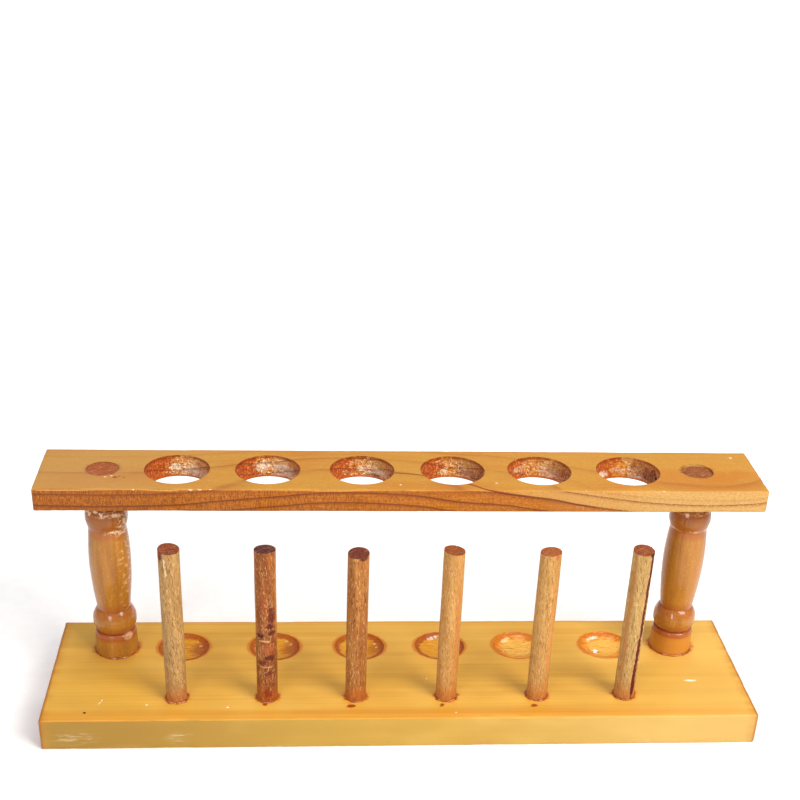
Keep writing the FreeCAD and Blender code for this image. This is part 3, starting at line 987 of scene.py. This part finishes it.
def hole_cutter(hole, low, high, depth):
    """A cutter for one tube hole whose wall is pitted on the end grain and torn along the grain."""
    cutter = turned([
        (0, low - OVERSHOOT, 0), (HOLE_RADIUS, low - OVERSHOOT, 26),
        (HOLE_RADIUS, high + OVERSHOOT, 0), (0, high + OVERSHOOT, 0),
    ], hole.x, hole.y, 200)
    for vertex in cutter.verts:
        place = vertex.co.copy()
        radius, away = from_axis(place, hole.x, hole.y)
        if radius < HOLE_RADIUS * 0.5:
            continue
        side = abs(away.x)
        pits = max(0.0, noise.noise(place / (0.8 * MM)) + 0.1)
        torn = max(0.0, noise.noise(place / (0.75 * MM)) + 0.4 * noise.noise(place / (0.35 * MM)) + 0.15)
        torn *= max(0.0, 1.0 - 1.3 * side)
        near_face = min(place.z - low, high - place.z)
        calm = min(1.0, max(0.12, near_face / (1.4 * MM)))
        vertex.co += away * depth * calm * (0.8 * pits * side + 1.6 * torn)
    bmesh.ops.triangulate(cutter, faces=cutter.faces)     # flat pieces meet the board's faces cleanly
    return number_faces(cutter, 1)


# Chips along the upper board's front arris and on its top face: place and half sizes in mm.
TOP_CHIPS = [
    (-91.5, -1.6, 84.9, 0.5, 0.25, 0.2), (-75.4, -1.6, 85.0, 0.7, 0.25, 0.2),
    (-72.6, -1.6, 84.9, 0.9, 0.3, 0.25), (-69.5, -1.6, 85.0, 1.2, 0.3, 0.2),
    (-66.0, -1.5, 85.0, 0.7, 0.25, 0.15), (-110.0, -1.6, 84.9, 0.5, 0.25, 0.15),
    (-30.5, -1.6, 85.0, 0.4, 0.25, 0.15), (-14.0, -1.6, 84.9, 0.5, 0.25, 0.15),
    (61.0, -1.6, 85.0, 0.4, 0.25, 0.15), (88.0, -1.6, 84.9, 0.4, 0.25, 0.15),
    (31.0, 4.2, 85.0, 0.5, 0.25, 0.15), (-2.0, 2.5, 85.0, 0.4, 0.25, 0.15),
    (118.5, 25.0, 85.0, 0.6, 0.35, 0.12),
]


class RACK_OT_top_board(bpy.types.Operator):
    """Make the upper board with its torn tube holes, through mortises and chipped arrises"""
    bl_idname = "rack.top_board"
    bl_label = "Upper Board"

    def execute(self, context):
        sizes, finish = context.scene.rack_shape, context.scene.rack_finish
        board = sawn_board(TOP_LOW, TOP_HIGH, 1.5 * MM, sizes.arris_ease)
        wear_board(board, TOP_LOW, TOP_HIGH, sizes.arris_ease, sizes.arris_wear, sizes.plane_waves)
        cutters = [hole_cutter(hole, TOP_LOW.z, TOP_HIGH.z, sizes.torn_grain) for hole in HOLES]
        under, over = TOP_LOW.z - OVERSHOOT, TOP_HIGH.z + OVERSHOOT
        for axis in POST_AXES:
            cutters.append(blind_cutter(axis, MORTISE_RADIUS, under, over))
        for x, y, z, length, width, depth in TOP_CHIPS:
            cutters.append(chip_cutter(
                Vector((x * MM, y * MM, z * MM)), (length * MM, width * MM, depth * MM), 0.0, 2))
        board = cut_away(board, cutters)
        side = board.verts.layers.float.new("bore_side")
        for vertex in board.verts:
            hole = min(HOLES, key=lambda centre: abs(centre.x - vertex.co.x))
            vertex[side] = max(-1.0, min(1.0, (vertex.co.x - hole.x) / HOLE_RADIUS))
        finish_piece(
            board, "top_board_wood",
            [lacquered_fir(finish), torn_bore(finish), bare_chip()], ["top_board"],
        )
        return {"FINISHED"}


def bend_through(first, middle, last, steps):
    """Points of the arc from first to last through middle, as (radius, height)."""
    (ax, ay), (bx, by), (cx, cy) = first, middle, last
    turn = 2.0 * (ax * (by - cy) + bx * (cy - ay) + cx * (ay - by))
    aa, bb, cc = ax * ax + ay * ay, bx * bx + by * by, cx * cx + cy * cy
    centre_x = (aa * (by - cy) + bb * (cy - ay) + cc * (ay - by)) / turn
    centre_y = (aa * (cx - bx) + bb * (ax - cx) + cc * (bx - ax)) / turn
    radius = math.hypot(ax - centre_x, ay - centre_y)
    start = math.atan2(ay - centre_y, ax - centre_x)
    sweep = math.atan2(cy - centre_y, cx - centre_x) - start
    sweep = (sweep + math.pi) % TAU - math.pi
    return [
        (centre_x + radius * math.cos(start + sweep * step / steps),
         centre_y + radius * math.sin(start + sweep * step / steps), 0)
        for step in range(steps)
    ]


def swelling_radius(body, height):
    """The body's radius at a height, from the smooth curve through its four given points."""
    radius = 0.0
    for index, (own_radius, own_height) in enumerate(body):
        share = 1.0
        for other, (_, other_height) in enumerate(body):
            if other != index:
                share *= (height - other_height) / (own_height - other_height)
        radius += own_radius * share
    return radius


def post_outline(tenon_top):
    """A post's turned outline as (radius, height above the base board, cuts), all in mm."""
    clear = (TOP_LOW.z - BASE_HIGH.z) / MM
    foot, head, tenon = (radius / MM for radius in (FOOT_RADIUS, HEAD_RADIUS, TENON_RADIUS))
    deep = -MORTISE_DEPTH / MM
    body = [(5.9, 18.4), (6.9, 27.5), (7.4, 39.0), (6.6, 51.5)]
    (waist, body_foot), (neck, body_top) = body[0], body[-1]
    swell = []
    for step in range(28):
        height = body_foot + (body_top - body_foot) * step / 28
        swell.append((swelling_radius(body, height), height, 0))
    return (
        [(0, deep, 3), (tenon - 0.4, deep, 0), (tenon, deep + 0.4, 4), (tenon, 0, 0), (foot, 0, 10)]
        + bend_through((7.45, 8.1), (7.09, 8.94), (6.25, 9.3), 6)
        + [(6.25, 9.3, 0)]
        + bend_through((6.7, 9.6), (7.8, 14.1), (waist, body_foot), 20)
        + swell
        + bend_through((neck, body_top), (7.5, 55.5), (neck, 59.4), 18)
        + [(neck, 59.4, 0)]
        + bend_through((6.1, 59.8), (6.94, 60.16), (head, 61.0), 6)
        + [(head, 61.0, 5), (head, clear, 0), (tenon, clear, 6), (tenon, tenon_top - 0.15, 0),
           (tenon - 0.2, tenon_top, 8), (0, tenon_top, 0)]
    )


GOUGE_STEP = 0.42 * MM    # the turner's gouge moved on by TAU times this at each turn of the post


class RACK_OT_posts(bpy.types.Operator):
    """Make the two turned posts with their tenons"""
    bl_idname = "rack.posts"
    bl_label = "Turned Posts"

    def execute(self, context):
        sizes, finish = context.scene.rack_shape, context.scene.rack_finish
        tenon_ends = {
            "left": end_grain("tenon_left_sawn_end", "A5582C", "854020", "CF9460"),
            "right": end_grain("tenon_right_sawn_end", "98582E", "70391C", "C09468"),
        }
        for side, axis in zip(POSTS, POST_AXES):
            low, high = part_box(f"post_{side}")
            outline = [
                (radius * MM, height * MM + BASE_HIGH.z, cuts)
                for radius, height, cuts in post_outline((high.z - BASE_HIGH.z) / MM)
            ]
            post = turned(outline, axis.x, axis.y, 96)
            for vertex in post.verts:
                place = vertex.co
                radius, away = from_axis(place, axis.x, axis.y)
                if BASE_HIGH.z < place.z < TOP_LOW.z and radius > TENON_RADIUS + 0.1 * MM:
                    ridge = math.sin(place.z / GOUGE_STEP) * sizes.lathe_ridges
                    dent = min(0.0, ripple(place, 3.0 * MM, 9.0 * MM, axis=2)) * 0.12 * MM
                    vertex.co += away * (ridge + dent - sizes.lathe_ridges)
                elif place.z > high.z - 0.5 * MM:
                    vertex.co.z -= 0.12 * MM * (0.5 + 0.5 * noise.noise(place / (0.9 * MM)))
            for face in post.faces:
                if face.calc_center_median().z > high.z - 0.4 * MM:
                    face.material_index = 1
            materials = [turned_wood(finish, side, axis), tenon_ends[side]]
            finish_piece(
                post, f"post_{side}_wood", materials, [f"post_{side}"], sharp=50.0)
        return {"FINISHED"}


# Each stick's own wood: pale, dark and fleck colours, the colour and pores of its sawn top, lean of
# its grain in degrees, and its marks as (angle, height, half width, half height, depth, colour,
# strength, raggedness), in degrees and mm.
STICKS = [
    ("B38950", "9B7342", "624422", "8C4A2C", "5E2A18", 9, [
        (-143, 70.3, 1.3, 2.6, 0.5, "6E2A14", 0.9, 1.2), (-113, 67.6, 0.45, 2.0, -0.1, "F4DEAE", 0.5, 1.8),
        (-107, 64.6, 0.4, 2.2, -0.1, "F0D49C", 0.5, 1.8), (-119, 66.8, 0.25, 2.6, 0.1, "7A4A22", 0.7, 1.0),
    ]),
    ("9A5822", "763711", "481A0A", "5E3430", "2E1818", 3, [
        (-55, 47.0, 1.7, 3.4, 0.1, "5A1A10", 0.85, 2.4), (-72, 43.2, 1.9, 0.9, 0.15, "4A1410", 0.85, 2.2),
        (-60, 40.6, 1.3, 0.9, 0.15, "4A1410", 0.85, 2.0), (-132, 39.4, 1.8, 0.8, 0.2, "3E100E", 0.9, 1.6),
        (-84, 34.0, 2.6, 2.0, 0.0, "A8582A", 0.6, 2.4), (-100, 37.4, 2.2, 0.35, 0.0, "D8A470", 0.6, 1.6),
        (-68, 30.4, 1.9, 1.1, 0.15, "4A1410", 0.85, 2.4), (-112, 28.4, 1.9, 1.0, 0.1, "5A1A10", 0.8, 2.4),
        (-84, 26.8, 2.4, 0.3, 0.0, "D09A62", 0.5, 1.6), (-78, 24.2, 1.7, 0.9, 0.1, "5A1A10", 0.7, 2.2),
        (-88, 15.5, 1.5, 2.4, 0.0, "742009", 0.7, 1.6), (-104, 52.0, 1.2, 4.6, 0.0, "8A3A18", 0.5, 2.2),
        (-160, 54.0, 0.7, 17.0, 0.0, "C4843C", 0.6, 1.4), (-18, 54.0, 0.7, 17.0, 0.0, "C8883C", 0.6, 1.4),
    ]),
    ("AF7132", "91551D", "54240C", "74382A", "4A2018", 2, [
        (-58, 69.6, 1.6, 1.3, 0.2, "4E1A10", 0.85, 1.4), (-70, 40.0, 0.8, 14.0, 0.0, "7C3A14", 0.5, 2.0),
    ]),
    ("BE8C4C", "AD793A", "875220", "945028", "6E3418", 3, [
        (-52, 40.0, 1.0, 26.0, 0.0, "C0702C", 0.5, 1.6),
    ]),
    ("BF904F", "AD7E40", "7A481E", "A86034", "824220", 5, [
        (-60, 69.8, 0.7, 1.2, 0.1, "A8481A", 0.6, 1.8), (-52, 40.0, 1.0, 26.0, 0.0, "C47A34", 0.5, 1.6),
    ]),
    ("B99458", "A78248", "6E4E26", "8E4C2E", "642A18", 7, [
        (-38, 66.0, 0.85, 8.5, 0.4, "5A180A", 1.0, 0.6), (-43, 55.0, 0.85, 8.5, 0.4, "5A180A", 1.0, 0.6),
        (-48, 43.5, 0.85, 8.5, 0.4, "5A180A", 1.0, 0.6), (-53, 32.0, 0.85, 8.5, 0.4, "5A180A", 1.0, 0.6),
        (-58, 20.0, 0.85, 9.5, 0.4, "5A180A", 1.0, 0.6), (-45, 71.0, 1.3, 1.2, 0.4, "2C0E08", 0.95, 1.2),
        (-100, 71.4, 3.0, 0.9, 0.2, "9A3E1C", 0.9, 1.6), (-140, 45.0, 1.0, 40.0, 0.0, "A86A34", 0.6, 1.6),
    ]),
]


SAWN_REACH = 4.0 * MM    # how far down from its sawn top a peg's slope is spread


def peg_shape(number, sizes, marks):
    """One peg: an uneven dowel with a slimmer foot, its marks dented, and a top that was sawn by hand."""
    low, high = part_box(f"peg_{number}")
    axis = PEGS[number - 1]
    neck = BASE_HIGH.z + 1.0 * MM
    spigot = SOCKET_RADIUS - GLUE_LINE
    peg = turned([
        (0, low.z, 2), (spigot - 0.3 * MM, low.z, 0), (spigot, low.z + 0.3 * MM, 4),
        (spigot, BASE_HIGH.z, 0), (PEG_RADIUS, neck, 110), (PEG_RADIUS, high.z - 0.25 * MM, 1),
        (PEG_RADIUS - 0.2 * MM, high.z, 9), (0, high.z, 0),
    ], axis.x, axis.y, 84)
    slope_way = Vector((math.cos(number * 2.4), math.sin(number * 2.4), 0))
    for vertex in peg.verts:
        place = vertex.co.copy()
        radius, away = from_axis(place, axis.x, axis.y)
        if place.z > neck and radius > PEG_RADIUS * 0.5:
            flute = ripple(place + Vector((0, 0, number)), 1.1 * MM, 16 * MM, axis=2)
            hollow = ripple(place, 3.5 * MM, 22 * MM, axis=2)
            inward = sizes.dowel_flutes * (0.9 - 0.5 * flute - 0.7 * hollow)
            for angle, height, half_width, half_height, depth, _, _, _ in marks:
                gap = place - on_stick(axis, angle, height)
                gap.z *= half_width / half_height
                torn = half_width * MM * (1.0 + 0.5 * noise.noise(place / (0.9 * MM)))
                inward += depth * MM * max(0.0, min(1.0, 2.0 - 2.0 * gap.length / torn))
            vertex.co -= away * max(0.0, inward) * (radius / PEG_RADIUS)
        if place.z > high.z - SAWN_REACH:
            rise = (place.z - high.z + SAWN_REACH) / SAWN_REACH
            tilt = (slope_way.dot(place - Vector((axis.x, axis.y, place.z))) / PEG_RADIUS - 1.0) / 2.0
            vertex.co.z += sizes.saw_slope * tilt * rise
        if place.z > high.z - 0.1 * MM:
            vertex.co.z -= 0.35 * MM * (0.5 + 0.5 * noise.noise(place / (1.1 * MM)))
    for face in peg.faces:
        if face.normal.z > 0.6 and face.calc_center_median().z > high.z - 3.0 * MM:
            face.material_index = 1
    return peg


class RACK_OT_pegs(bpy.types.Operator):
    """Make the six drying pegs, each from its own stick of wood"""
    bl_idname = "rack.pegs"
    bl_label = "Drying Pegs"

    def execute(self, context):
        sizes = context.scene.rack_shape
        for number, (pale, dark, fleck, sawn, pores, lean, marks) in zip(PLACES, STICKS):
            wood = raw_dowel(number, pale, dark, fleck, lean, marks)
            end = end_grain(f"dowel_{number}_sawn_end", sawn, pores, "B87646")
            node = f"peg_{number}"
            finish_piece(peg_shape(number, sizes, marks), node + "_wood", [wood, end], [node])
        return {"FINISHED"}


def glue_ring(node, bore, hangs):
    """A bead of glue in the corner between a board and a stick, fat in places and thin in others."""
    low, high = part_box(node)
    centre = (low + high) / 2.0
    width = (high.x - low.x) / 2.0 - bore
    height = high.z - low.z
    face = high.z if hangs else low.z
    up = -1.0 if hangs else 1.0
    turns = [TAU / 4 * step / 6 for step in range(7)]
    outline = [(bore + width * math.cos(turn), face + up * height * math.sin(turn), 0) for turn in turns]
    hidden = bore - 0.3 * MM    # the bead's back, inside the stick
    outline = [(hidden, face, 0)] + outline + [(hidden, face + up * height * 0.9, 0)]
    shape = turned(outline + [outline[0]], centre.x, centre.y, 64)
    for vertex in shape.verts:
        radius, away = from_axis(vertex.co, centre.x, centre.y)
        beyond = max(0.0, radius - bore)
        rise = abs(vertex.co.z - face)
        lump = 0.5 + 0.7 * noise.noise(Vector((away.x * 1.9, away.y * 1.9, centre.x * 900.0)))
        lump = min(1.0, max(0.15, lump))
        vertex.co += away * beyond * (lump - 1.0)
        vertex.co.z = face + up * rise * min(1.0, lump + 0.1)
    return shape


class RACK_OT_glue(bpy.types.Operator):
    """Make the uneven beads of glue round the feet of the pegs and posts and round the posts' heads"""
    bl_idname = "rack.glue"
    bl_label = "Glue Beads"

    def execute(self, context):
        finish = context.scene.rack_finish
        amber = hardened_glue("glue_amber_lacquered", finish.glue_amber, "84400A", 0.2)
        milky = hardened_glue("glue_milky_dried", finish.glue_milky, "D9B98A", 0.4)
        beads = [(f"peg_glue_bead_{number}", PEG_RADIUS, False, "amber_glue", amber) for number in PLACES]
        for side in POSTS:
            beads.append((f"foot_glue_bead_{side}", FOOT_RADIUS, False, "amber_glue", amber))
            beads.append((f"head_glue_bead_{side}", HEAD_RADIUS, True, "pale_glue", milky))
        for node, bore, hangs, slot, material in beads:
            finish_piece(glue_ring(node, bore, hangs), node + "_drop", [material], [node], sharp=60.0)
        return {"FINISHED"}


# The camera's place in metres, its lens and sensor in mm, how far its view is shifted up, as a share
# of the view's width, and its angles in degrees.
CAMERA_PLACE = (-0.03485, -0.40714, 0.28981)
CAMERA_LENS, CAMERA_SENSOR = 60.69, 36.0
CAMERA_SHIFT = 0.221
CAMERA_TURN, CAMERA_DROP, CAMERA_ROLL = -4.720, 30.391, 2.323


class RACK_OT_stage(bpy.types.Operator):
    """Make the pale floor, the soft lights and the camera"""
    bl_idname = "rack.stage"
    bl_label = "Stage"

    def execute(self, context):
        scene, studio = context.scene, context.scene.rack_studio
        ground = bmesh.new()
        bmesh.ops.create_grid(ground, x_segments=8, y_segments=8, size=4.0)
        mesh = bpy.data.meshes.new("floor")
        ground.to_mesh(mesh)
        ground.free()
        mesh.materials.append(painted_floor(studio.floor_colour))
        floor = bpy.data.objects.new("floor", mesh)
        scene.collection.objects.link(floor)

        lights = (
            ("key_light", (0.50, -0.50, 0.62), 0.45, studio.key_power, "FFF8EE"),
            ("fill_light", (-0.38, -0.72, 0.36), 0.3, studio.fill_power, "F6F8FF"),
            ("top_light", (0.0, -0.2, 1.1), 0.9, studio.top_power, "FFFFFF"),
        )
        for name, place, size, power, colour in lights:
            data = bpy.data.lights.new(name, "AREA")
            data.shape = "SQUARE"
            data.size = size
            data.energy = power
            data.color = linear(colour)[:3]
            lamp = bpy.data.objects.new(name, data)
            lamp.location = place
            aim = Vector((0, 0, 0.04)) - Vector(place)
            lamp.rotation_euler = aim.to_track_quat("-Z", "Y").to_euler()
            scene.collection.objects.link(lamp)

        spot = bpy.data.lights.new("backdrop_light", "SPOT")
        spot.energy = studio.backdrop_power
        spot.spot_size = math.radians(95.0)
        spot.spot_blend = 1.0
        spot.shadow_soft_size = 0.3
        lamp = bpy.data.objects.new("backdrop_light", spot)
        lamp.location = (0.2, 1.0, 1.9)
        lamp.rotation_euler = Vector((0.1, 0.5, -1.9)).to_track_quat("-Z", "Y").to_euler()
        scene.collection.objects.link(lamp)

        world = bpy.data.worlds.new("room")
        world.use_nodes = True
        background = world.node_tree.nodes["Background"]
        background.inputs["Color"].default_value = linear("F7F8FF")
        background.inputs["Strength"].default_value = studio.world_strength
        scene.world = world
        scene.view_settings.view_transform = "Standard"

        eye = bpy.data.cameras.new("camera")
        eye.lens = CAMERA_LENS
        eye.sensor_width = CAMERA_SENSOR
        eye.shift_y = CAMERA_SHIFT
        camera = bpy.data.objects.new("camera", eye)
        turn = Matrix.Rotation(math.radians(CAMERA_TURN), 4, "Z")
        tilt = Matrix.Rotation(math.radians(90.0 - CAMERA_DROP), 4, "X")
        roll = Matrix.Rotation(math.radians(CAMERA_ROLL), 4, "Z")
        camera.matrix_world = Matrix.Translation(CAMERA_PLACE) @ turn @ tilt @ roll
        scene.collection.objects.link(camera)
        scene.camera = camera
        return {"FINISHED"}


class RACK_PT_panel(bpy.types.Panel):
    """The rack's pieces and settings in the sidebar"""
    bl_idname = "RACK_PT_panel"
    bl_label = "Test Tube Rack"
    bl_space_type = "VIEW_3D"
    bl_region_type = "UI"
    bl_category = "Rack"

    def draw(self, context):
        layout = self.layout
        for operator in OPERATORS:
            layout.operator(operator.bl_idname)
        for group in (context.scene.rack_shape, context.scene.rack_finish, context.scene.rack_studio):
            box = layout.box()
            for name in group.bl_rna.properties.keys():
                if name not in ("name", "rna_type"):
                    box.prop(group, name)


OPERATORS = (
    RACK_OT_base_board, RACK_OT_top_board, RACK_OT_posts, RACK_OT_pegs, RACK_OT_glue, RACK_OT_stage,
)
GROUPS = {"rack_shape": RackShape, "rack_finish": RackFinish, "rack_studio": RackStudio}


def register():
    for name, group in GROUPS.items():
        bpy.utils.register_class(group)
        setattr(bpy.types.Scene, name, PointerProperty(type=group))
    for kind in OPERATORS + (RACK_PT_panel,):
        bpy.utils.register_class(kind)


def unregister():
    for kind in reversed(OPERATORS + (RACK_PT_panel,)):
        bpy.utils.unregister_class(kind)
    for name, group in reversed(GROUPS.items()):
        delattr(bpy.types.Scene, name)
        bpy.utils.unregister_class(group)


def main():
    register()
    bpy.ops.rack.stage()
    bpy.ops.rack.base_board()
    bpy.ops.rack.top_board()
    bpy.ops.rack.posts()
    bpy.ops.rack.pegs()
    bpy.ops.rack.glue()


if __name__ == "__main__":
    main()
